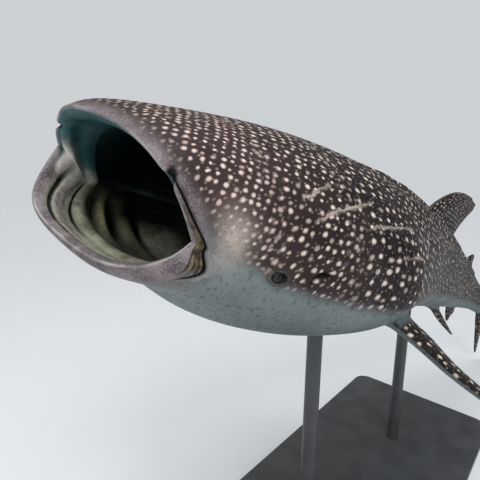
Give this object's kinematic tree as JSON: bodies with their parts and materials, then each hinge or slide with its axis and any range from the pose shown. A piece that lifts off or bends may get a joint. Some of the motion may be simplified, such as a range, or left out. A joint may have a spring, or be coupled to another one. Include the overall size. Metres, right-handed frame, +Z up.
{
  "type": "whale shark model",
  "caption": "Life-size model of a young whale shark feeding with its mouth open, nose up and banked, held by two rods on a flat display base.",
  "frame": {"origin": "centre of the underside of the stand's flat base", "axes": "+X from the snout towards the tail, along the model's length; +Y towards the animal's right side; +Z up"},
  "size_m": [5.8489, 2.5834, 2.6532],
  "materials": {
    "skin": "damp, rough brown-grey skin with cream spots and a pale belly",
    "mouth": "damp lilac-grey lip with olive filter pads inside",
    "eye": "dark, glossy and wet",
    "stand": "satin dark grey"
  },
  "bodies": {
    "root": {"head": "skin", "lower_jaw": "mouth", "eye_left": "eye", "eye_right": "eye", "gill_band": "skin", "torso_front": "skin", "torso_rear": "skin", "tail_stock": "skin", "pectoral_fin_left": "skin", "pectoral_fin_right": "skin", "pelvic_fin_left": "skin", "pelvic_fin_right": "skin", "first_dorsal_fin": "skin", "second_dorsal_fin": "skin", "anal_fin": "skin", "tail_fin_lower_lobe": "skin", "tail_fin_upper_lobe": "skin", "stand_base": "stand", "stand_rod_front": "stand", "stand_rod_rear": "stand"}
  },
  "joints": []
}
